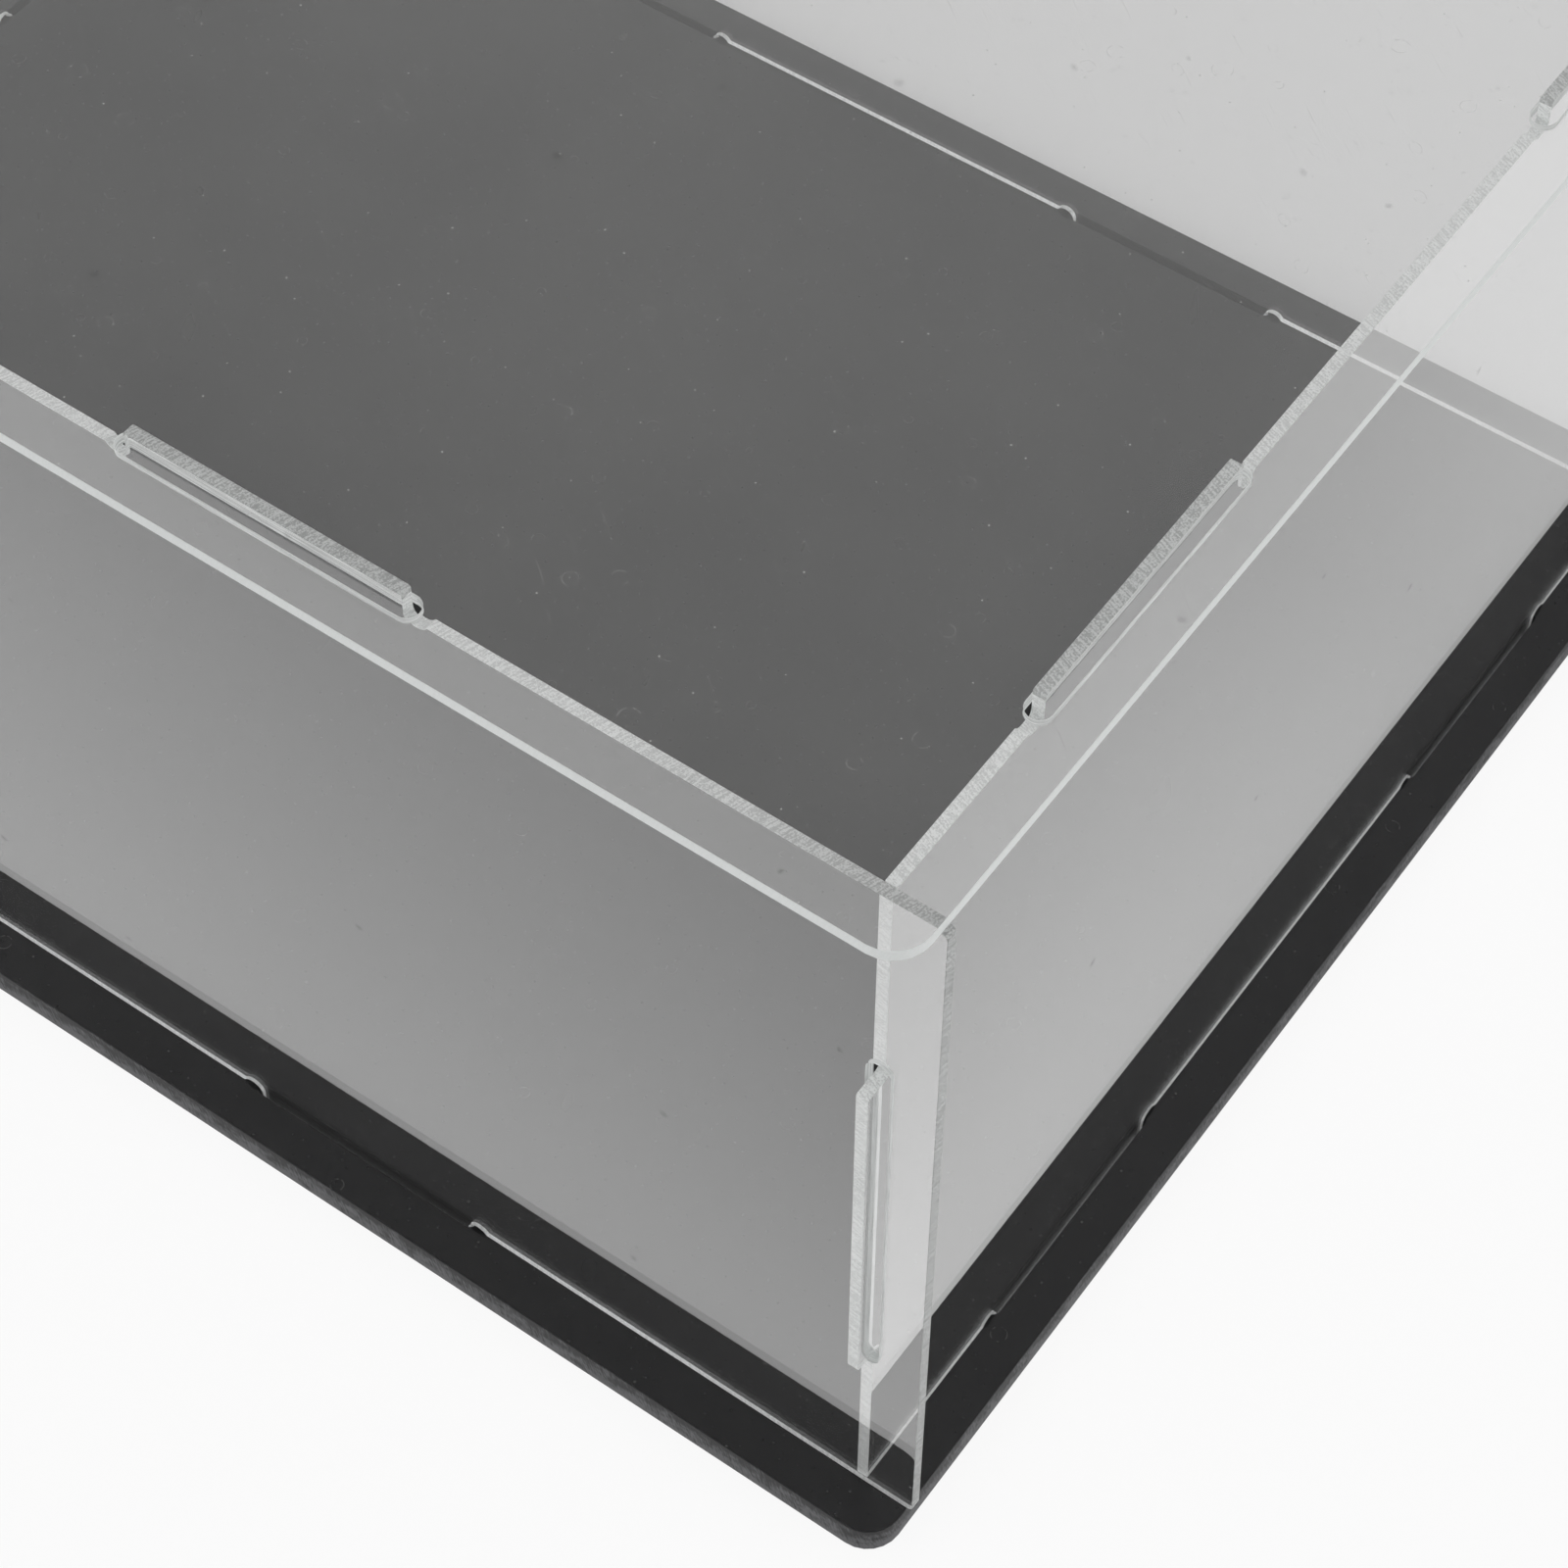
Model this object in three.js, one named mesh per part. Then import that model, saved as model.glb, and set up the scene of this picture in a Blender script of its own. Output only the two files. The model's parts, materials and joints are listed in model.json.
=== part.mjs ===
// Self-assembly display case for model cars: a black base plate, four clear walls
// that stand in its slots, and a clear top plate that drops over the walls' top tabs.
// Every piece is cut from flat acrylic sheet and held only by its tabs.
// Millimetres, +Z up, -Y is the front. The origin is the middle of the base's underside.

import * as THREE from 'three';

// Sheet thicknesses
const WALL_THICKNESS = 2;
const TOP_THICKNESS = 2;
const BASE_THICKNESS = 6;

// Overall sizes: the walled box is measured over the walls' outer faces
const BOX_LENGTH = 334;
const BOX_DEPTH = 250;
const WALL_HEIGHT = 160;

// How far the base and the top reach past the walls, and their rounded corners
const PLATE_MARGIN = 8;
const PLATE_CORNER_RADIUS = 6;

// The front and back walls run on past the side walls
const WALL_OVERRUN = 9;
const WALL_CORNER_RADIUS = 1;

// Tabs: two along the top and the foot of each wall, one up each end of the side walls
const TAB_PITCH = 132;
const TOP_TAB_LENGTH = 48;
const FOOT_TAB_LENGTH = 44;
const END_TAB_LENGTH = 76;
const END_TAB_RISE = 41;
const TAB_PROUD = 3;
const FOOT_TAB_SHORT = 0.5;
const TAB_TIP_RADIUS = 0.5;

// Round reliefs that the cutter leaves at the roots of the tabs
const RELIEF_RADIUS = 2;
const RELIEF_DEPTH = 1;

// Slots: room beside a tab towards the inside and the outside of the box, and past its ends.
// Those of the base fit closely, those of the top plate and the long walls are wide.
const BASE_SLOT_GAP = 0.5;
const BASE_SLOT_END_GAP = 1;
const TOP_SLOT_INNER_GAP = 0.8;
const TOP_SLOT_OUTER_GAP = 1.2;
const TOP_SLOT_END_GAP = 2;
const END_SLOT_INNER_GAP = 0.5;
const END_SLOT_OUTER_GAP = 1.5;
const END_SLOT_GAP_BELOW = 1.5;
const END_SLOT_GAP_ABOVE = 4.5;

// Pieces that stand on or butt against each other keep this much air between them
const SEAT_GAP = 0.1;

// Straight pieces that a quarter turn is drawn with
const STEPS_PER_QUARTER = 6;

const QUARTER_TURN = Math.PI / 2;

// Levels and widths that follow from the sizes above
const wallFoot = BASE_THICKNESS + SEAT_GAP;
const wallTop = wallFoot + WALL_HEIGHT;
const topUnderside = wallTop + SEAT_GAP;
const longWallLength = BOX_LENGTH + 2 * WALL_OVERRUN;
const sideWallLength = BOX_DEPTH - 2 * (WALL_THICKNESS + SEAT_GAP);
const plateLength = BOX_LENGTH + 2 * PLATE_MARGIN;
const plateDepth = BOX_DEPTH + 2 * PLATE_MARGIN;
const topTabReach = SEAT_GAP + TOP_THICKNESS + TAB_PROUD;
const footTabReach = SEAT_GAP + BASE_THICKNESS - FOOT_TAB_SHORT;
const endTabReach = SEAT_GAP + WALL_THICKNESS + TAB_PROUD;

// Points of a round stretch about a centre, from one angle to another
function arc(centreX, centreY, radius, from, to) {
  const steps = Math.max(1, Math.round(STEPS_PER_QUARTER * Math.abs(to - from) / QUARTER_TURN));
  const points = [];
  for (let i = 0; i <= steps; i += 1) {
    const angle = from + (to - from) * i / steps;
    points.push(new THREE.Vector2(centreX + radius * Math.cos(angle), centreY + radius * Math.sin(angle)));
  }
  return points;
}

// One tab, in its edge's own directions: x along the edge from the tab's middle, y out of
// the sheet. Each root has a round relief that dips into the shoulder beside the tab.
function tabProfile(length, reach) {
  const half = length / 2;
  const lift = RELIEF_RADIUS - RELIEF_DEPTH;
  const dip = Math.asin(lift / RELIEF_RADIUS);
  const left = [
    ...arc(-half - RELIEF_RADIUS, lift, RELIEF_RADIUS, Math.PI + dip, 2 * Math.PI),
    ...arc(-half + TAB_TIP_RADIUS, reach - TAB_TIP_RADIUS, TAB_TIP_RADIUS, Math.PI, QUARTER_TURN),
  ];
  const right = left.map((p) => new THREE.Vector2(-p.x, p.y)).reverse();
  return [...left, ...right];
}

// Points along one edge of a sheet with its tabs. The edge starts at a corner and runs
// along a direction, and the outward direction lies a quarter turn clockwise of it.
function edgeWithTabs(start, along, tabs) {
  const outward = new THREE.Vector2(along.y, -along.x);
  const points = [];
  for (const tab of tabs) {
    for (const p of tabProfile(tab.length, tab.reach)) {
      points.push(start.clone().addScaledVector(along, tab.middle + p.x).addScaledVector(outward, p.y));
    }
  }
  return points;
}

// Outline of a wall sheet, walked anticlockwise from its bottom left corner. Its middle
// lies at x = 0 and its foot at y = 0. Tab places are counted along the walk of each edge.
function wallOutline(length, cornerRadius, footTabs, topTabs, endTabs) {
  const corners = [
    new THREE.Vector2(-length / 2, 0),
    new THREE.Vector2(length / 2, 0),
    new THREE.Vector2(length / 2, WALL_HEIGHT),
    new THREE.Vector2(-length / 2, WALL_HEIGHT),
  ];
  const tabsPerEdge = [footTabs, endTabs.right, topTabs, endTabs.left];
  const points = [];
  corners.forEach((corner, i) => {
    const along = corners[(i + 1) % corners.length].clone().sub(corner).normalize();
    if (cornerRadius > 0) {
      const centre = corner.clone().addScaledVector(along, cornerRadius)
        .addScaledVector(new THREE.Vector2(-along.y, along.x), cornerRadius);
      const from = Math.PI + i * QUARTER_TURN;
      points.push(...arc(centre.x, centre.y, cornerRadius, from, from + QUARTER_TURN));
    } else {
      points.push(corner);
    }
    points.push(...edgeWithTabs(corner, along, tabsPerEdge[i]));
  });
  return points;
}

// How wide a slot for a wall's tab is, and how far outside the wall's outer face its middle
// lies. That is less than zero where the middle lies in the wall.
function slotAcross(innerGap, outerGap) {
  return {
    width: innerGap + WALL_THICKNESS + outerGap,
    middle: (outerGap - innerGap - WALL_THICKNESS) / 2,
  };
}

// Outline of a slot with round ends. Its long way runs along x, or along y if upright.
function slotOutline(middleX, middleY, length, width, upright) {
  const radius = width / 2;
  const reach = length / 2 - radius;
  const ends = [
    ...arc(reach, 0, radius, -QUARTER_TURN, QUARTER_TURN),
    ...arc(-reach, 0, radius, QUARTER_TURN, 3 * QUARTER_TURN),
  ];
  return ends.map((p) => new THREE.Vector2(
    middleX + (upright ? p.y : p.x),
    middleY + (upright ? p.x : p.y),
  ));
}

// Outline of the base and the top plate, centred
function plateOutline() {
  const x = plateLength / 2 - PLATE_CORNER_RADIUS;
  const y = plateDepth / 2 - PLATE_CORNER_RADIUS;
  return [[x, -y], [x, y], [-x, y], [-x, -y]].flatMap(([cx, cy], i) => {
    const from = (i - 1) * QUARTER_TURN;
    return arc(cx, cy, PLATE_CORNER_RADIUS, from, from + QUARTER_TURN);
  });
}

// The eight slots of a plate: two for each wall, as far apart as the tabs
function plateSlots(tabLength, innerGap, outerGap, endGap) {
  const length = tabLength + 2 * endGap;
  const { width, middle } = slotAcross(innerGap, outerGap);
  const slots = [];
  for (const side of [-1, 1]) {
    for (const place of [-TAB_PITCH / 2, TAB_PITCH / 2]) {
      slots.push(slotOutline(place, side * (BOX_DEPTH / 2 + middle), length, width, false));
      slots.push(slotOutline(side * (BOX_LENGTH / 2 + middle), place, length, width, true));
    }
  }
  return slots;
}

// A flat sheet of an outline and its holes, thick along +z
function sheet(outline, holes, thickness) {
  const shape = new THREE.Shape(outline);
  shape.holes = holes.map((points) => new THREE.Path(points));
  return new THREE.ExtrudeGeometry(shape, { depth: thickness, bevelEnabled: false });
}

// Two like tabs on an edge, one pitch apart and centred on it
function tabPair(edgeLength, length, reach) {
  return [-TAB_PITCH / 2, TAB_PITCH / 2].map((place) => (
    { middle: edgeLength / 2 + place, length, reach }
  ));
}

// Front or back wall: a long sheet with an upright slot near each end for the side wall's tab
function longWallGeometry() {
  const foot = tabPair(longWallLength, FOOT_TAB_LENGTH, footTabReach);
  const top = tabPair(longWallLength, TOP_TAB_LENGTH, topTabReach);
  const outline = wallOutline(longWallLength, WALL_CORNER_RADIUS, foot, top, { left: [], right: [] });
  const slotLength = END_SLOT_GAP_BELOW + END_TAB_LENGTH + END_SLOT_GAP_ABOVE;
  const slotMiddle = END_TAB_RISE - END_SLOT_GAP_BELOW + slotLength / 2;
  const { width, middle } = slotAcross(END_SLOT_INNER_GAP, END_SLOT_OUTER_GAP);
  const across = BOX_LENGTH / 2 + middle;
  const slots = [-across, across].map((x) => slotOutline(x, slotMiddle, slotLength, width, true));
  return sheet(outline, slots, WALL_THICKNESS);
}

// Left or right wall: fits between the front and back walls, with a tab up each end
function sideWallGeometry() {
  const foot = tabPair(sideWallLength, FOOT_TAB_LENGTH, footTabReach);
  const top = tabPair(sideWallLength, TOP_TAB_LENGTH, topTabReach);
  const endTab = { length: END_TAB_LENGTH, reach: endTabReach };
  const ends = {
    right: [{ ...endTab, middle: END_TAB_RISE + END_TAB_LENGTH / 2 }],
    left: [{ ...endTab, middle: WALL_HEIGHT - END_TAB_RISE - END_TAB_LENGTH / 2 }],
  };
  return sheet(wallOutline(sideWallLength, 0, foot, top, ends), [], WALL_THICKNESS);
}

// Clear cast acrylic with polished faces
function clearAcrylic() {
  return new THREE.MeshStandardMaterial({
    color: '#e9eeed', roughness: 0.06, metalness: 0, transparent: true, opacity: 0.3,
  });
}

// Black cast acrylic, glossy
function blackAcrylic() {
  return new THREE.MeshStandardMaterial({ color: '#0d0d0e', roughness: 0.14, metalness: 0 });
}

function piece(name, geometry, material) {
  const mesh = new THREE.Mesh(geometry, material);
  mesh.name = name;
  return mesh;
}

// Stands a wall sheet up: its length runs along a level direction and its height along +Z.
// Its thickness then lies along length x height, from the place given.
function standUp(mesh, lengthDirection, place) {
  const up = new THREE.Vector3(0, 0, 1);
  const through = lengthDirection.clone().cross(up);
  mesh.quaternion.setFromRotationMatrix(new THREE.Matrix4().makeBasis(lengthDirection, up, through));
  mesh.position.copy(place);
  return mesh;
}

const displayCase = new THREE.Group();

const baseSlots = plateSlots(FOOT_TAB_LENGTH, BASE_SLOT_GAP, BASE_SLOT_GAP, BASE_SLOT_END_GAP);
displayCase.add(piece('base_plate',
  sheet(plateOutline(), baseSlots, BASE_THICKNESS), blackAcrylic()));

const topSlots = plateSlots(TOP_TAB_LENGTH, TOP_SLOT_INNER_GAP, TOP_SLOT_OUTER_GAP, TOP_SLOT_END_GAP);
const topPlate = piece('top_panel',
  sheet(plateOutline(), topSlots, TOP_THICKNESS), clearAcrylic());
topPlate.position.z = topUnderside;
displayCase.add(topPlate);

// The long walls' thickness lies along -Y of the place where they stand
const alongX = new THREE.Vector3(1, 0, 0);
const innerFront = -BOX_DEPTH / 2 + WALL_THICKNESS;
displayCase.add(standUp(piece('front_panel', longWallGeometry(), clearAcrylic()),
  alongX, new THREE.Vector3(0, innerFront, wallFoot)));
displayCase.add(standUp(piece('back_panel', longWallGeometry(), clearAcrylic()),
  alongX, new THREE.Vector3(0, BOX_DEPTH / 2, wallFoot)));

// The side walls' thickness lies along +X of the place where they stand
const alongY = new THREE.Vector3(0, 1, 0);
const innerRight = BOX_LENGTH / 2 - WALL_THICKNESS;
displayCase.add(standUp(piece('left_panel', sideWallGeometry(), clearAcrylic()),
  alongY, new THREE.Vector3(-BOX_LENGTH / 2, 0, wallFoot)));
displayCase.add(standUp(piece('right_panel', sideWallGeometry(), clearAcrylic()),
  alongY, new THREE.Vector3(innerRight, 0, wallFoot)));

export default displayCase;
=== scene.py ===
"""Finishes the slot-together display case for model cars and sets up a plain white studio."""

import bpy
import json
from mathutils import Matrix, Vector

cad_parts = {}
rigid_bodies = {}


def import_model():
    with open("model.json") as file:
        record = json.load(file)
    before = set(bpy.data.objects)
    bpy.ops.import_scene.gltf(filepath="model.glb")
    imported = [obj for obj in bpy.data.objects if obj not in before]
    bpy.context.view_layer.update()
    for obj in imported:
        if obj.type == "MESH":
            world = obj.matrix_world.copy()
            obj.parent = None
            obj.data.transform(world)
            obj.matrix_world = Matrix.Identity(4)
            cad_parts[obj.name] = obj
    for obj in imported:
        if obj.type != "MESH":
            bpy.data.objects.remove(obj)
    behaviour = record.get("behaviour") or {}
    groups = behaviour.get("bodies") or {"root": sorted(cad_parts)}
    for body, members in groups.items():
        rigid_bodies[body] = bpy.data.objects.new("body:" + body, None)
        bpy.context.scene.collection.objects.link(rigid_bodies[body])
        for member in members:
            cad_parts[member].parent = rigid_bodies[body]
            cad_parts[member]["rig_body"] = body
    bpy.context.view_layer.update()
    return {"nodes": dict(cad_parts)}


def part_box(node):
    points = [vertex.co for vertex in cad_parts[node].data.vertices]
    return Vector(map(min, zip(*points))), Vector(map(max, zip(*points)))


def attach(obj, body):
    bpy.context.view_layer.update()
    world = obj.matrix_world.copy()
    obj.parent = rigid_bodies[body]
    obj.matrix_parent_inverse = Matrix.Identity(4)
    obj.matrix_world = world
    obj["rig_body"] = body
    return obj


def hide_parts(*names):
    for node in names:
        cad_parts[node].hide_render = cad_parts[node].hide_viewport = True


bl_info = {
    "name": "Slot-Together Display Case",
    "version": (1, 0, 0),
    "blender": (4, 5, 0),
    "location": "3D View > Sidebar > Display Case",
    "description": "Finishes the sheets of an acrylic display case and sets up its studio",
    "category": "Object",
}

import json
import math

import bmesh
import bpy
from bpy.props import FloatProperty, FloatVectorProperty, PointerProperty
from mathutils import Matrix, Vector, noise
from mathutils.geometry import delaunay_2d_cdt

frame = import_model()
MM = 0.001

# Reading a packed sheet: how near two corners are one, from which slant a face counts as level, and
# which of the sorted outlines is the outer one
WELD = 0.001 * MM
FACING = 0.5
OUTER_RING = 0

# Building a finished sheet: its map, how far apart in the patterns two sheets lie, the length over
# which a bevel wanders, and the numbers of the materials on its faces, its outer cut and its slots
SHEET_MAP = "sheet_map"
MARKS_APART = 3.0
ARRIS_WANDER = 4 * MM
SHARP_ANGLE = math.radians(30)
FACES, OUTER_CUT, SLOT_CUTS = range(3)

# Filling an outline: only inside it, with a tolerance in millimetres
FILL_INSIDE = 1
FILL_TOLERANCE = 0.00001

# Cast acrylic, and how much of a wall's height counts as its foot, where a glow is painted on its
# cut, and as the top of its tabs, which is painted darker as shade
ACRYLIC_IOR = 1.49
FOOT_EDGE = 0.3 * MM
TIP_EDGE = 1.0 * MM

# The smallest speck or fibre, as a share of the largest
SMALLEST_SHARE = 0.4

# The numbers of a Mix node's sockets, because its names stand for several
MIX_SHARE = 0
COLOUR_A, COLOUR_B, MIXED_COLOUR = 6, 7, 2
NUMBER_A, NUMBER_B, MIXED_NUMBER = 2, 3, 0

# Pieces of the imported record, each paired with one of its slots
BASE = ("base_plate", "black_acrylic")
LONG_WALLS = (("front_panel", "clear_wall"), ("back_panel", "clear_wall"))
SIDE_WALLS = (("left_panel", "clear_wall"), ("right_panel", "clear_wall"))
TOP = ("top_panel", "clear_top")


def linear(hex_colour):
    """A linear RGBA colour from sRGB written as #rrggbb."""
    channels = [int(hex_colour[i : i + 2], 16) / 255 for i in (1, 3, 5)]
    return [c / 12.92 if c <= 0.04045 else ((c + 0.055) / 1.055) ** 2.4 for c in channels] + [1.0]


def add_node(tree, kind, inputs=None, **settings):
    """Adds a node of a kind with its settings. Each input gets a plain value or a link.

    An input is given by its name, or by its number where several share a name.
    """
    made = tree.nodes.new(kind)
    for name, value in settings.items():
        setattr(made, name, value)
    for name, value in (inputs or {}).items():
        if isinstance(value, bpy.types.NodeSocket):
            tree.links.new(value, made.inputs[name])
        else:
            made.inputs[name].default_value = value
    return made


def place_at_rest(tree):
    """The place in the row frame, by X, Y and Z. A pose that moves the piece doesn't change it."""
    place = add_node(tree, "ShaderNodeTexCoord").outputs["Object"]
    return add_node(tree, "ShaderNodeSeparateXYZ", {"Vector": place}).outputs


# Properties


class CaseSheets(bpy.types.PropertyGroup):
    """How the sheets were cut and handled."""

    arris: FloatProperty(
        name="Arris",
        description="Width of the scraped bevel along every cut edge",
        default=0.1 * MM,
        min=0.0,
        max=0.4 * MM,
        unit="LENGTH",
        precision=6,
    )
    arris_unevenness: FloatProperty(
        name="Arris Unevenness",
        description="How much the bevel's width wanders, as a share of it",
        default=0.2,
        min=0.0,
        max=1.0,
        subtype="FACTOR",
    )
    cut_step: FloatProperty(
        name="Cut Step",
        description="Longest side that a cut edge is drawn with",
        default=2.0 * MM,
        min=0.5 * MM,
        max=20 * MM,
        unit="LENGTH",
        precision=6,
    )


class CaseFinish(bpy.types.PropertyGroup):
    """The colours and the polish of the acrylic."""

    black: FloatVectorProperty(
        name="Black Sheet",
        description="Colour of the black base",
        default=linear("#131314"),
        size=4,
        subtype="COLOR",
        min=0.0,
        max=1.0,
    )
    black_sawn: FloatVectorProperty(
        name="Sawn Black Edge",
        description="Colour of the base's sawn edge",
        default=linear("#5c5c5e"),
        size=4,
        subtype="COLOR",
        min=0.0,
        max=1.0,
    )
    frosting: FloatVectorProperty(
        name="Frosted Edge",
        description="Colour of the other cut edges of the clear sheets",
        default=linear("#f1f4f3"),
        size=4,
        subtype="COLOR",
        min=0.0,
        max=1.0,
    )
    bright_frosting: FloatVectorProperty(
        name="Bright Frosted Edge",
        description="Colour of the walls' cuts and of the top plate's slots",
        default=linear("#fcfefd"),
        size=4,
        subtype="COLOR",
        min=0.0,
        max=1.0,
    )
    dust: FloatVectorProperty(
        name="Dust",
        description="Colour of the fine dust on the sheets",
        default=linear("#dcdcd8"),
        size=4,
        subtype="COLOR",
        min=0.0,
        max=1.0,
    )
    grit: FloatVectorProperty(
        name="Grit",
        description="Colour of the dark grit on the clear sheets",
        default=linear("#2c2c2b"),
        size=4,
        subtype="COLOR",
        min=0.0,
        max=1.0,
    )
    wall_film: FloatProperty(
        name="Dust Film on Walls",
        description="Share of the walls' faces that a film of dust hides",
        default=0.004,
        min=0.0,
        max=0.2,
        subtype="FACTOR",
    )
    top_film: FloatProperty(
        name="Dust Film on Top",
        description="Share of the top plate's faces that a film of dust hides",
        default=0.02,
        min=0.0,
        max=0.2,
        subtype="FACTOR",
    )
    wall_gloss: FloatProperty(
        name="Wall Gloss",
        description="Weight of the hard gloss on the walls",
        default=0.4,
        min=0.0,
        max=1.0,
        subtype="FACTOR",
    )
    top_gloss: FloatProperty(
        name="Top Gloss",
        description="Weight of the hard gloss on the top plate",
        default=0.15,
        min=0.0,
        max=1.0,
        subtype="FACTOR",
    )


class CaseStudio(bpy.types.PropertyGroup):
    """The camera, the floor and the lights."""

    azimuth: FloatProperty(
        name="Azimuth",
        description="Camera's turn around the case from straight in front, to the right",
        default=math.radians(35.46),
        subtype="ANGLE",
    )
    elevation: FloatProperty(
        name="Elevation",
        description="Camera's angle above the horizon",
        default=math.radians(53.81),
        subtype="ANGLE",
    )
    roll: FloatProperty(
        name="Roll",
        description="Camera's turn about its own line of sight",
        default=math.radians(0.19),
        subtype="ANGLE",
    )
    place: FloatVectorProperty(
        name="Camera Place",
        description="Where the camera stands",
        default=(318.03 * MM, -359.47 * MM, 571.80 * MM),
        subtype="XYZ_LENGTH",
        unit="LENGTH",
    )
    lens: FloatProperty(
        name="Lens",
        description="Focal length on a sensor 36 mm wide",
        default=90.98,
        unit="CAMERA",
    )
    floor: FloatVectorProperty(
        name="Floor",
        description="Colour of the floor and the backdrop",
        default=linear("#ececec"),
        size=4,
        subtype="COLOR",
        min=0.0,
        max=1.0,
    )
    floor_size: FloatProperty(
        name="Floor Size",
        description="Side of the square floor",
        default=8.0,
        unit="LENGTH",
    )


class CaseSettings(bpy.types.PropertyGroup):
    """All that can be set on the display case."""

    sheets: PointerProperty(type=CaseSheets)
    finish: PointerProperty(type=CaseFinish)
    studio: PointerProperty(type=CaseStudio)


# The shape of a sheet


class Sheet:
    """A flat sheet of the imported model, with its own directions, levels and outlines."""

    def __init__(self, node):
        low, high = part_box(node)
        size = high - low
        self.through = min(range(3), key=lambda i: size[i])
        self.along = (self.through + 1) % 3
        self.across = (self.through + 2) % 3
        self.low = low[self.through]
        self.high = high[self.through]
        self.outlines = self.read_outlines(frame["nodes"][node].data)

    def read_outlines(self, packed):
        """The outlines of the high face as flat points. The sheet lies on the left of each."""
        mesh = bmesh.new()
        mesh.from_mesh(packed)
        bmesh.ops.remove_doubles(mesh, verts=mesh.verts, dist=WELD)
        mesh.normal_update()
        after = {}
        for face in mesh.faces:
            if face.normal[self.through] > FACING:
                for loop in face.loops:
                    if loop.link_loop_radial_next.face.normal[self.through] < FACING:
                        after[loop.vert] = loop.link_loop_next.vert
        outlines = []
        while after:
            first, here = after.popitem()
            ring = [first]
            while here != first:
                ring.append(here)
                here = after.pop(here)
            outlines.append([Vector((v.co[self.along], v.co[self.across])) for v in ring])
        mesh.free()
        return sorted(outlines, key=lambda ring: min((p.x, p.y) for p in ring))

    def point(self, flat, level):
        """A flat point of the sheet at a level through it, in the row frame."""
        made = Vector((0, 0, 0))
        made[self.along] = flat.x
        made[self.across] = flat.y
        made[self.through] = level
        return made


def stepped(ring, step):
    """The outline with points put in, so that no side is longer than step."""
    made = []
    for here, there in zip(ring, ring[1:] + ring[:1]):
        parts = max(1, math.ceil((there - here).length / step))
        made += [here.lerp(there, i / parts) for i in range(parts)]
    return made


def distances(ring):
    """How far round the outline each point lies, and the whole way round at the end."""
    found = [0.0]
    for here, there in zip(ring, ring[1:] + ring[:1]):
        found.append(found[-1] + (there - here).length)
    return found


def drawn_in(ring, widths):
    """The outline moved into the sheet, by a width of its own at each point."""
    made = []
    for i, here in enumerate(ring):
        before = (here - ring[i - 1]).normalized()
        after = (ring[(i + 1) % len(ring)] - here).normalized()
        sides = Vector((-before.y, before.x)), Vector((-after.y, after.x))
        lean = (sides[0] + sides[1]) / (1 + sides[0].dot(sides[1]))
        made.append(here + lean * widths[i])
    return made


def build_cut(mesh, marks, sheet, rows, ring_distances, start, material_number):
    """The band of one cut: a bevel, the cut itself and the other bevel, between rows of corners."""
    count = len(rows[0])
    for lower, upper in zip(rows, rows[1:]):
        for i in range(count):
            k = (i + 1) % count
            face = mesh.faces.new((lower[i], lower[k], upper[k], upper[i]))
            face.material_index = material_number
            face.smooth = True
            ends = (i, i + 1, i + 1, i)
            for loop, end in zip(face.loops, ends):
                loop[marks].uv = (start + ring_distances[end], loop.vert.co[sheet.through])


def lies_inside(point, ring):
    """Whether a flat point lies inside an outline."""
    crossed = 0
    for here, there in zip(ring, ring[1:] + ring[:1]):
        if (here.y > point.y) != (there.y > point.y):
            share = (point.y - here.y) / (there.y - here.y)
            crossed += here.lerp(there, share).x > point.x
    return crossed % 2 == 1


def build_face(mesh, marks, sheet, rings, up, start):
    """One of the sheet's two faces: its outline filled, less the slots.

    The filling works in millimetres, because metres would leave it too few digits.
    """
    corners = [v for ring in rings for v in ring]
    flat_rings = [
        [Vector((v.co[sheet.along], v.co[sheet.across])) / MM for v in ring] for ring in rings
    ]
    flat = [p for ring in flat_rings for p in ring]
    sides = []
    for ring in flat_rings:
        first = len(sides)
        sides += [(first + i, first + (i + 1) % len(ring)) for i in range(len(ring))]
    _, _, triangles, sources, _, _ = delaunay_2d_cdt(flat, sides, [], FILL_INSIDE, FILL_TOLERANCE)
    for triangle in triangles:
        chosen = [sources[i][0] for i in triangle]
        middle = sum((flat[i] for i in chosen), Vector((0, 0))) / len(chosen)
        if any(lies_inside(middle, slot) for slot in flat_rings[1:]):
            continue
        face = mesh.faces.new([corners[i] for i in chosen])
        face.normal_update()
        if (face.normal[sheet.through] > 0) != up:
            face.normal_flip()
        face.material_index = FACES
        face.smooth = True
        for loop in face.loops:
            place = loop.vert.co
            loop[marks].uv = (start + place[sheet.along], place[sheet.across])


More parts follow.
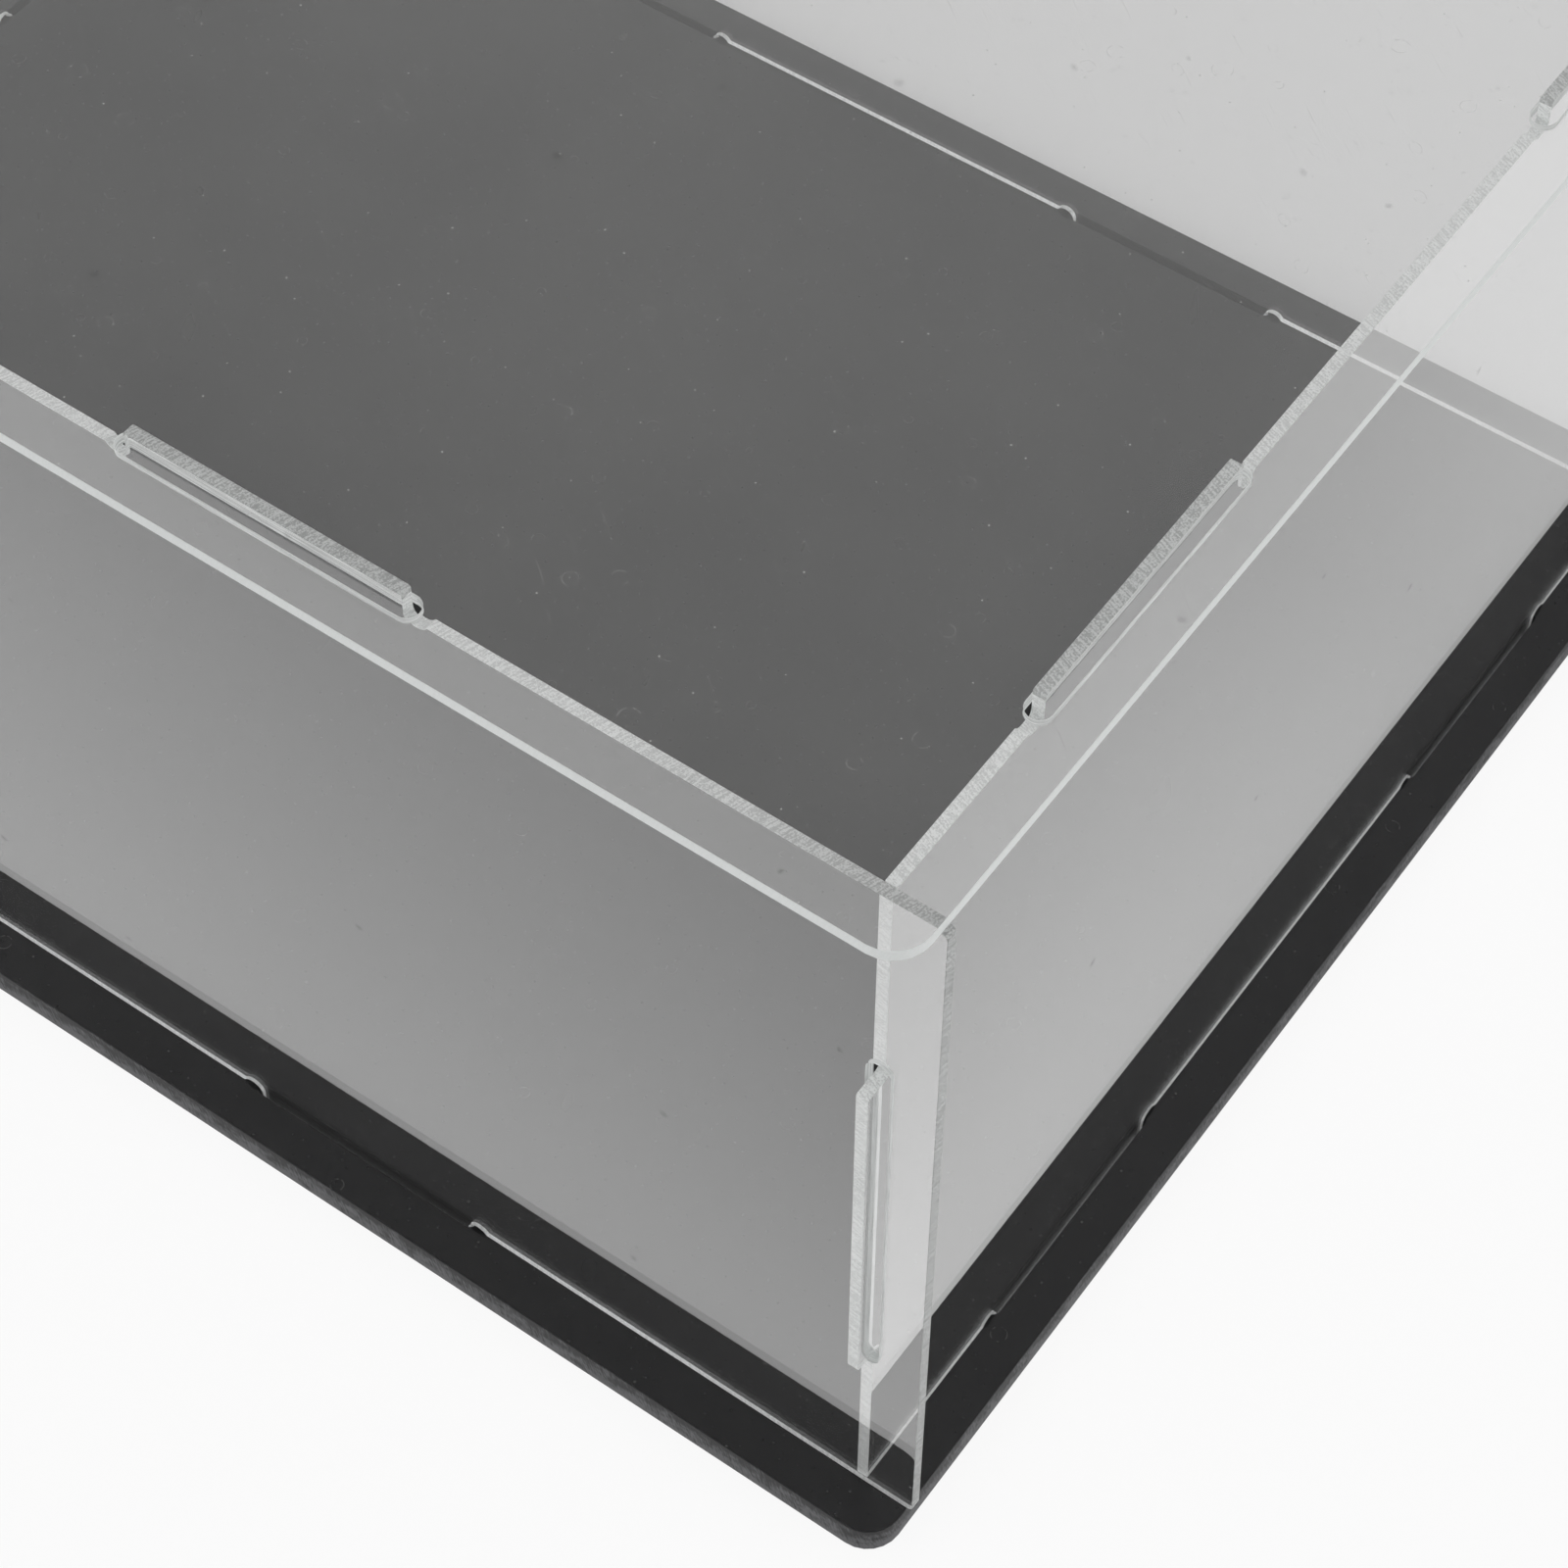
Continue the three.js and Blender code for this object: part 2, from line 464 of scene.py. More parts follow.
def build_sheet(node, slot, materials, settings):
    """A finished sheet in the place of a packed one, with bevelled cuts and a map of true lengths.

    Its materials are on the faces, on the cut around the sheet and on the cuts of its slots.
    """
    sheet = Sheet(node)
    # Each sheet starts elsewhere in the patterns, so no two carry the same marks
    start = MARKS_APART * (1 + sorted(frame["nodes"]).index(node))
    mesh = bmesh.new()
    marks = mesh.loops.layers.uv.new(SHEET_MAP)
    low_rings, high_rings = [], []
    for number, outline in enumerate(sheet.outlines):
        ring = stepped(outline, settings.cut_step)
        ring_distances = distances(ring)
        widths = [
            settings.arris
            * (1 + settings.arris_unevenness * noise.noise(Vector((d / ARRIS_WANDER, start, number))))
            for d in ring_distances
        ]
        inner = drawn_in(ring, widths)
        levels = (
            [sheet.low] * len(ring),
            [sheet.low + w for w in widths],
            [sheet.high - w for w in widths],
            [sheet.high] * len(ring),
        )
        rows = [
            [mesh.verts.new(sheet.point(p, level)) for p, level in zip(path, row)]
            for path, row in zip((inner, ring, ring, inner), levels)
        ]
        cut = OUTER_CUT if number == OUTER_RING else SLOT_CUTS
        build_cut(mesh, marks, sheet, rows, ring_distances, start + number, cut)
        low_rings.append(rows[0])
        high_rings.append(rows[-1])
    build_face(mesh, marks, sheet, low_rings, up=False, start=start)
    build_face(mesh, marks, sheet, high_rings, up=True, start=start + MARKS_APART / 2)
    data = bpy.data.meshes.new(node + "_sheet")
    mesh.to_mesh(data)
    mesh.free()
    data.set_sharp_from_angle(angle=SHARP_ANGLE)
    for material in materials:
        data.materials.append(material)
    piece = bpy.data.objects.new(node + "_sheet", data)
    bpy.context.scene.collection.objects.link(piece)
    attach(piece, frame["nodes"][node]["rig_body"])
    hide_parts(node)
    return piece


# Patterns that the materials share


def strokes(tree, place, pitch, length, slant=0.0):
    """Uneven strokes: how far apart they lie, how long they are and how they lean."""
    lie = add_node(
        tree,
        "ShaderNodeMapping",
        {"Vector": place, "Rotation": (0.0, 0.0, slant), "Scale": (pitch, length, 1.0)},
        vector_type="TEXTURE",
    )
    pattern = add_node(
        tree,
        "ShaderNodeTexNoise",
        {"Vector": lie.outputs["Vector"], "Scale": 1.0, "Detail": 2.0, "Roughness": 0.6},
        noise_dimensions="2D",
    )
    return pattern.outputs["Fac"]


def cells(tree, place, spacing, radius, share):
    """Random cells: the distance to the middle, a radius for each, and 1 in the share chosen.

    The distance and the radius are in spacings.
    """
    made = add_node(
        tree,
        "ShaderNodeTexVoronoi",
        {"Vector": place, "Scale": 1 / spacing},
        voronoi_dimensions="2D",
    )
    dice = add_node(tree, "ShaderNodeSeparateColor", {"Color": made.outputs["Color"]})
    chosen = add_node(
        tree,
        "ShaderNodeMath",
        {0: dice.outputs["Red"], 1: share},
        operation="LESS_THAN",
    )
    reach = add_node(
        tree,
        "ShaderNodeMapRange",
        {
            "Value": dice.outputs["Green"],
            "To Min": SMALLEST_SHARE * radius / spacing,
            "To Max": radius / spacing,
        },
    )
    return made.outputs["Distance"], reach.outputs["Result"], chosen.outputs["Value"]


def specks(tree, place, spacing, radius, share):
    """1 on soft round specks and 0 off them. The largest have the radius given.

    Fine dust is given a radius a few times the real one, to show.
    """
    distance, reach, chosen = cells(tree, place, spacing, radius, share)
    spot = add_node(
        tree,
        "ShaderNodeMapRange",
        {"Value": distance, "From Min": reach, "From Max": 0.0},
        interpolation_type="SMOOTHSTEP",
    )
    both = add_node(
        tree,
        "ShaderNodeMath",
        {0: chosen, 1: spot.outputs["Result"]},
        operation="MULTIPLY",
    )
    return both.outputs["Value"]


def fibres(tree, place, spacing, radius, width, share):
    """1 on short curled fibres: arcs round the middles of some cells, half of each broken away.

    A real fibre is about a tenth as thick, too thin to show, so it is drawn coarser.
    """
    distance, reach, chosen = cells(tree, place, spacing, radius, share)
    kept_above = 0.5
    line = add_node(
        tree,
        "ShaderNodeMath",
        {0: distance, 1: reach, 2: 0.5 * width / spacing},
        operation="COMPARE",
    )
    broken = add_node(
        tree,
        "ShaderNodeMath",
        {0: strokes(tree, place, pitch=radius, length=radius), 1: kept_above},
        operation="GREATER_THAN",
    )
    here = add_node(
        tree,
        "ShaderNodeMath",
        {0: chosen, 1: broken.outputs["Value"]},
        operation="MULTIPLY",
    )
    both = add_node(
        tree,
        "ShaderNodeMath",
        {0: here.outputs["Value"], 1: line.outputs["Value"]},
        operation="MULTIPLY",
    )
    return both.outputs["Value"]


def hairlines(tree, place, slant):
    """1 on short straight hairline scratches, which all lie one way.

    They are a few hundredths of a millimetre wide and drawn about ten times as coarse, to show.
    """
    scratches = strokes(tree, place, pitch=0.3 * MM, length=16 * MM, slant=slant)
    above = add_node(
        tree,
        "ShaderNodeMapRange",
        {"Value": scratches, "From Min": 0.76, "From Max": 0.8},
    )
    return above.outputs["Result"]


def weighed_sum(tree, start, parts):
    """A start value plus several patterns, each times its weight, kept within 0 and 1."""
    total = start
    for pattern, weight in parts:
        added = add_node(
            tree,
            "ShaderNodeMath",
            {0: pattern, 1: weight, 2: total},
            operation="MULTIPLY_ADD",
            use_clamp=True,
        )
        total = added.outputs["Value"]
    return total


# Materials


def new_material(name):
    """An empty node material, and its output."""
    material = bpy.data.materials.new(name)
    material.use_nodes = True
    tree = material.node_tree
    tree.nodes.clear()
    return material, tree, add_node(tree, "ShaderNodeOutputMaterial")


def open_to_lamps(tree, shader, output):
    """Lets lamps and bounced light straight through a clear face, as flat sheet does."""
    path = add_node(tree, "ShaderNodeLightPath")
    either = add_node(
        tree,
        "ShaderNodeMath",
        {0: path.outputs["Is Shadow Ray"], 1: path.outputs["Is Diffuse Ray"]},
        operation="MAXIMUM",
    )
    clear = add_node(tree, "ShaderNodeBsdfTransparent", {"Color": linear("#fbfbfb")})
    mix = add_node(
        tree,
        "ShaderNodeMixShader",
        {0: either.outputs["Value"], 1: shader, 2: clear.outputs["BSDF"]},
    )
    tree.links.new(mix.outputs["Shader"], output.inputs["Surface"])


def polished_clear_acrylic(name, finish, film, coat):
    """Clear cast acrylic as it comes from between glass plates.

    It mirrors the white room by IOR and a hard gloss. The eye finds it by that, by a thin film of
    dust, and by the specks, fibres, grit and hairline scratches that it picks up when unpacked.
    """
    material, tree, output = new_material(name)
    place = add_node(tree, "ShaderNodeUVMap", uv_map=SHEET_MAP).outputs["UV"]
    acrylic = add_node(
        tree,
        "ShaderNodeBsdfPrincipled",
        {
            "Base Color": linear("#ffffff"),
            "Roughness": 0.0,
            "IOR": ACRYLIC_IOR,
            "Transmission Weight": 1.0,
            "Coat Weight": coat,
            "Coat Roughness": 0.0,
        },
    )
    haze_length = 45 * MM
    haze_middle = 0.5
    haze = add_node(
        tree,
        "ShaderNodeTexNoise",
        {"Vector": place, "Scale": 1 / haze_length, "Detail": 2.0},
        noise_dimensions="2D",
    )
    dust_specks = specks(tree, place, spacing=11 * MM, radius=0.3 * MM, share=0.45)
    lint = fibres(tree, place, spacing=24 * MM, radius=1.6 * MM, width=0.16 * MM, share=0.5)
    scratches = hairlines(tree, place, slant=0.9)
    speck_weight, lint_weight, scratch_weight = 0.45, 0.16, 0.14
    light_dust = weighed_sum(
        tree,
        0.0,
        (
            (haze.outputs["Fac"], film / haze_middle),
            (dust_specks, speck_weight),
            (lint, lint_weight),
            (scratches, scratch_weight),
        ),
    )
    pale = add_node(tree, "ShaderNodeBsdfDiffuse", {"Color": finish.dust})
    dusty = add_node(
        tree,
        "ShaderNodeMixShader",
        {0: light_dust, 1: acrylic.outputs["BSDF"], 2: pale.outputs["BSDF"]},
    )
    coarse_grit = specks(tree, place, spacing=46 * MM, radius=1.4 * MM, share=0.6)
    fine_grit = specks(tree, place, spacing=9 * MM, radius=0.9 * MM, share=0.4)
    coarse_weight, fine_weight = 0.18, 0.05
    grit = weighed_sum(
        tree,
        0.0,
        ((coarse_grit, coarse_weight), (fine_grit, fine_weight)),
    )
    dark = add_node(tree, "ShaderNodeBsdfDiffuse", {"Color": finish.grit})
    gritty = add_node(
        tree,
        "ShaderNodeMixShader",
        {0: grit, 1: dusty.outputs["Shader"], 2: dark.outputs["BSDF"]},
    )
    open_to_lamps(tree, gritty.outputs["Shader"], output)
    return material


def toned(tree, colour, depth, pattern):
    """The colour, darkened where the pattern is high, by the depth at most."""
    tone = add_node(
        tree,
        "ShaderNodeMath",
        {0: depth, 1: pattern},
        operation="MULTIPLY",
    )
    left = add_node(
        tree,
        "ShaderNodeMath",
        {0: 1.0, 1: tone.outputs["Value"]},
        operation="SUBTRACT",
        use_clamp=True,
    )
    mixed = add_node(
        tree,
        "ShaderNodeMix",
        {MIX_SHARE: 1.0, COLOUR_A: colour, COLOUR_B: left.outputs["Value"]},
        data_type="RGBA",
        blend_type="MULTIPLY",
    )
    return mixed.outputs[MIXED_COLOUR]


def painted_foot_glow(tree, strength):
    """A painted glow along a wall's foot, next to the base: it stands in for light that the wall's
    faces catch and that comes out there.
    """
    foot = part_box(BASE[0])[1].z + FOOT_EDGE
    painted_glow = add_node(
        tree,
        "ShaderNodeMapRange",
        {
            "Value": place_at_rest(tree)["Z"],
            "From Min": foot + FOOT_EDGE,
            "From Max": foot,
            "To Max": strength,
        },
    )
    return painted_glow.outputs["Result"]


def frosted_by_cutter(name, colour, depth, pattern_of, painted_glow=0.0):
    """The rough, milky surface that a cutter leaves on clear acrylic.

    It throws light back and lets some through from inside the sheet, so it glows white. What the
    pattern darkens is also cut deeper. Given a strength, it also has a painted glow along a wall's
    foot, where no lamp is.
    """
    glow_share = 0.25
    material, tree, output = new_material(name)
    place = add_node(tree, "ShaderNodeUVMap", uv_map=SHEET_MAP).outputs["UV"]
    pattern = pattern_of(tree, place)
    tone = toned(tree, colour, depth, pattern)
    relief = add_node(
        tree,
        "ShaderNodeBump",
        {"Height": pattern, "Strength": 0.3, "Distance": -0.05 * MM},
    )
    # A painted glow along a wall's foot: an emission that stands in for light the wall's faces catch
    painted_foot_glow_inputs = {}
    if painted_glow:
        painted_foot_glow_inputs = {"Emission Strength": 1.0, "Emission Color": painted_foot_glow(tree, painted_glow)}
    frosted = add_node(
        tree,
        "ShaderNodeBsdfPrincipled",
        {
            "Base Color": tone,
            "Roughness": 0.5,
            "IOR": ACRYLIC_IOR,
            "Normal": relief.outputs["Normal"],
            **painted_foot_glow_inputs,
        },
    )
    glow = add_node(tree, "ShaderNodeBsdfTranslucent", {"Color": tone})
    mix = add_node(
        tree,
        "ShaderNodeMixShader",
        {0: glow_share, 1: frosted.outputs["BSDF"], 2: glow.outputs["BSDF"]},
    )
    tree.links.new(mix.outputs["Shader"], output.inputs["Surface"])
    return material


def leaning_strokes(tree, place):
    """The cutter's strokes, which lean across the edge, with a fine grain between them.

    The strokes are 0.2 mm apart and drawn about twice as coarse, to show. They are painted a little
    stronger on a level cut, as shade on the cuts that face up, and long patches of the cut are
    darker. The tops of the tabs are painted darker too: painted shade, where light gets away down
    through the sheet there.
    """
    lean = strokes(tree, place, pitch=0.34 * MM, length=3.2 * MM, slant=-0.35)
    grain = strokes(tree, place, pitch=0.3 * MM, length=0.3 * MM)
    both = add_node(tree, "ShaderNodeMath", {0: lean, 1: grain}, operation="ADD")
    sharp = add_node(
        tree,
        "ShaderNodeMapRange",
        {"Value": both.outputs["Value"], "From Min": 0.9, "From Max": 1.1},
    )
    patches = add_node(
        tree,
        "ShaderNodeMapRange",
        {
            "Value": strokes(tree, place, pitch=45 * MM, length=90 * MM),
            "From Min": 0.35,
            "From Max": 0.65,
        },
    )
    facing = add_node(tree, "ShaderNodeNewGeometry")
    parts = add_node(tree, "ShaderNodeSeparateXYZ", {"Vector": facing.outputs["Normal"]})
    level = add_node(tree, "ShaderNodeMath", {0: parts.outputs["Z"]}, operation="ABSOLUTE")
    # Painted shade: the strokes are a little stronger on cuts that face up
    strength = add_node(
        tree,
        "ShaderNodeMapRange",
        {"Value": level.outputs["Value"], "To Min": 0.5, "To Max": 0.55},
    )
    # Painted shade: the tops of the tabs are darker
    painted_tip_shade = add_node(
        tree,
        "ShaderNodeMath",
        {0: place_at_rest(tree)["Z"], 1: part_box(LONG_WALLS[0][0])[1].z - TIP_EDGE},
        operation="GREATER_THAN",
    )
    marks = add_node(
        tree,
        "ShaderNodeMath",
        {0: sharp.outputs["Result"], 1: strength.outputs["Result"]},
        operation="MULTIPLY",
    )
    # The last weight is the depth of the painted shade on the tops of the tabs
    mark_weight, patch_weight, painted_tip_shade_weight = 0.6, 0.12, 0.38
    return weighed_sum(
        tree,
        0.0,
        (
            (marks.outputs["Value"], mark_weight),
            (patches.outputs["Result"], patch_weight),
            (painted_tip_shade.outputs["Value"], painted_tip_shade_weight),
        ),
    )


def strokes_with_painted_end_shade(tree, place):
    """Leaning strokes, and painted shade that darkens the cut towards the ends of a long wall."""
    out = add_node(tree, "ShaderNodeMath", {0: place_at_rest(tree)["X"]}, operation="ABSOLUTE")
    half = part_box(LONG_WALLS[0][0])[1].x
    end_shade_from_share, end_shade_full_share = 0.7, 0.94
    # Painted shade towards the ends of the wall
    painted_end_shade = add_node(
        tree,
        "ShaderNodeMapRange",
        {
            "Value": out.outputs["Value"],
            "From Min": end_shade_from_share * half,
            "From Max": end_shade_full_share * half,
        },
    )
    painted_end_shade_weight = 0.5
    return weighed_sum(
        tree, leaning_strokes(tree, place), ((painted_end_shade.outputs["Result"], painted_end_shade_weight),)
    )


def long_streaks(tree, place):
    """Long fine streaks that a small cutter leaves along the walls of a slot.

    They are drawn 0.3 mm wide, about three times as coarse as they are, to show.
    """
    streaks = add_node(
        tree,
        "ShaderNodeMapRange",
        {
            "Value": strokes(tree, place, pitch=12 * MM, length=0.3 * MM),
            "From Min": 0.4,
            "From Max": 0.6,
        },
    )
    return streaks.outputs["Result"]


def polished_black_acrylic(finish):
    """Black cast acrylic, polished and handled.

    It is deep and even, with a soft satin shine and pale dust.
    """
    material, tree, output = new_material("black_cast_acrylic_polished")
    place = add_node(tree, "ShaderNodeUVMap", uv_map=SHEET_MAP).outputs["UV"]
    coarse_specks = specks(tree, place, spacing=6 * MM, radius=0.35 * MM, share=0.4)
    fine_specks = specks(tree, place, spacing=2.4 * MM, radius=0.3 * MM, share=0.5)
    lint = fibres(tree, place, spacing=18 * MM, radius=1.4 * MM, width=0.16 * MM, share=0.5)
    coarse_weight, fine_weight, lint_weight = 0.07, 0.025, 0.06
    dust = weighed_sum(
        tree,
        0.0,
        (
            (coarse_specks, coarse_weight),
            (fine_specks, fine_weight),
            (lint, lint_weight),
        ),
    )
    colour = add_node(
        tree,
        "ShaderNodeMix",
        {MIX_SHARE: dust, COLOUR_A: finish.black, COLOUR_B: finish.dust},
        data_type="RGBA",
    )
    wipes = strokes(tree, place, pitch=9 * MM, length=30 * MM, slant=0.4)
    wiped = add_node(
        tree,
        "ShaderNodeMapRange",
        {"Value": wipes, "To Min": 0.18, "To Max": 0.3},
    )
    sheet = add_node(
        tree,
        "ShaderNodeBsdfPrincipled",
        {
            "Base Color": colour.outputs[MIXED_COLOUR],
            "Roughness": wiped.outputs["Result"],
            "IOR": ACRYLIC_IOR,
            "Specular IOR Level": 0.34,
        },
    )
    tree.links.new(sheet.outputs["BSDF"], output.inputs["Surface"])
    return material


def sawn_black_acrylic(name, colour):
    """A cut of black acrylic. The cutter's marks scatter light, so it looks grey and blotchy.

    The marks are drawn about twice as coarse as they are, to show. The cut is darker towards its
    top.
    """
    material, tree, output = new_material(name)
    place = add_node(tree, "ShaderNodeUVMap", uv_map=SHEET_MAP).outputs["UV"]
    marks = strokes(tree, place, pitch=0.45 * MM, length=2.2 * MM, slant=0.25)
    blotches = strokes(tree, place, pitch=5 * MM, length=2.4 * MM)
    low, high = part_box(BASE[0])
    parts = add_node(tree, "ShaderNodeSeparateXYZ", {"Vector": place})
    height = add_node(
        tree,
        "ShaderNodeMapRange",
        {"Value": parts.outputs["Y"], "From Min": low.z, "From Max": high.z},
    )
    mark_weight, blotch_weight, height_weight = 0.4, 0.5, 0.3
    all_three = weighed_sum(
        tree,
        0.0,
        (
            (marks, mark_weight),
            (blotches, blotch_weight),
            (height.outputs["Result"], height_weight),
        ),
    )
    # Marks, blotches, and a darkening towards the top of the cut
    darkening = add_node(
        tree,
        "ShaderNodeMapRange",
        {"Value": all_three, "From Min": 0.5, "From Max": 0.7},
    )
    tone = toned(tree, colour, depth=0.9, pattern=darkening.outputs["Result"])
    relief = add_node(
        tree,
        "ShaderNodeBump",
        {"Height": marks, "Strength": 0.5, "Distance": 0.1 * MM},
    )
    cut = add_node(
        tree,
        "ShaderNodeBsdfPrincipled",
        {
            "Base Color": tone,
            "Roughness": 0.6,
            "IOR": ACRYLIC_IOR,
            "Specular IOR Level": 0.25,
            "Normal": relief.outputs["Normal"],
        },
    )
    tree.links.new(cut.outputs["BSDF"], output.inputs["Surface"])
    return material


# Operators


class CASE_OT_base_plate(bpy.types.Operator):
    """Finish the black base plate"""

    bl_idname = "display_case.base_plate"
    bl_label = "Base Plate"

    def execute(self, context):
        settings = context.scene.display_case
        finish = settings.finish
        materials = (
            polished_black_acrylic(finish),
            sawn_black_acrylic("black_cast_acrylic_sawn", finish.black_sawn),
            sawn_black_acrylic("black_cast_acrylic_routed_slot", finish.black),
        )
        build_sheet(*BASE, materials, settings.sheets)
        return {"FINISHED"}


class CASE_OT_walls(bpy.types.Operator):
    """Finish the four clear walls"""

    bl_idname = "display_case.walls"
    bl_label = "Walls"

    def execute(self, context):
        settings = context.scene.display_case
        finish = settings.finish
        polished = polished_clear_acrylic(
            "clear_cast_acrylic_polished_wall", finish, film=finish.wall_film, coat=finish.wall_gloss
        )
        routed = frosted_by_cutter(
            "clear_cast_acrylic_routed_slot_wall",
            finish.frosting,
            depth=0.3,
            pattern_of=long_streaks,
        )
        pairs = (
            (LONG_WALLS, "clear_cast_acrylic_router_cut_long_wall", strokes_with_painted_end_shade),
            (SIDE_WALLS, "clear_cast_acrylic_router_cut_side_wall", leaning_strokes),
        )
        for walls, name, pattern_of in pairs:
            cut = frosted_by_cutter(
                name,
                finish.bright_frosting,
                depth=0.75,
                pattern_of=pattern_of,
                # Strength of the painted glow along the walls' feet
                painted_glow=0.2,
            )
            for node, slot in walls:
                build_sheet(node, slot, (polished, cut, routed), settings.sheets)
        return {"FINISHED"}


class CASE_OT_top_plate(bpy.types.Operator):
    """Finish the clear top plate"""

    bl_idname = "display_case.top_plate"
    bl_label = "Top Plate"

    def execute(self, context):
        settings = context.scene.display_case
        finish = settings.finish
        materials = (
            polished_clear_acrylic(
                "clear_cast_acrylic_polished_top", finish, film=finish.top_film, coat=finish.top_gloss
            ),
            frosted_by_cutter(
                "clear_cast_acrylic_router_cut_top",
                finish.frosting,
                depth=0.12,
                pattern_of=leaning_strokes,
            ),
            frosted_by_cutter(
                "clear_cast_acrylic_routed_slot_top",
                finish.bright_frosting,
                depth=0.35,
                pattern_of=long_streaks,
            ),
        )
        build_sheet(*TOP, materials, settings.sheets)
        return {"FINISHED"}


def shown_share(tree, straight, through):
    """One share for rays from the camera or a mirror, one for rays through sheet, 0 for light."""
    path = add_node(tree, "ShaderNodeLightPath")
    mirrored = add_node(
        tree,
        "ShaderNodeMath",
        {0: path.outputs["Is Glossy Ray"], 1: path.outputs["Is Transmission Ray"]},
        operation="SUBTRACT",
        use_clamp=True,
    )
    seen = add_node(
        tree,
        "ShaderNodeMath",
        {0: path.outputs["Is Camera Ray"], 1: mirrored.outputs["Value"]},
        operation="MAXIMUM",
    )
    seen_through = add_node(
        tree,
        "ShaderNodeMath",
        {0: path.outputs["Is Transmission Ray"], 1: through},
        operation="MULTIPLY",
    )
    share = add_node(
        tree,
        "ShaderNodeMath",
        {0: seen.outputs["Value"], 1: straight, 2: seen_through.outputs["Value"]},
        operation="MULTIPLY_ADD",
    )
    return share.outputs["Value"]


def mirrored_strength(tree, measure, reach, strengths):
    """A strength of 1 for the camera, and for a mirror one that follows a measure of place."""
    mirrored = add_node(
        tree,
        "ShaderNodeMapRange",
        {
            "Value": measure,
            "From Min": reach[0],
            "From Max": reach[1],
            "To Min": strengths[0],
            "To Max": strengths[1],
        },
    )
    path = add_node(tree, "ShaderNodeLightPath")
    strength = add_node(
        tree,
        "ShaderNodeMix",
        {
            MIX_SHARE: path.outputs["Is Camera Ray"],
            NUMBER_A: mirrored.outputs["Result"],
            NUMBER_B: 1.0,
        },
    )
    return strength.outputs[MIXED_NUMBER]


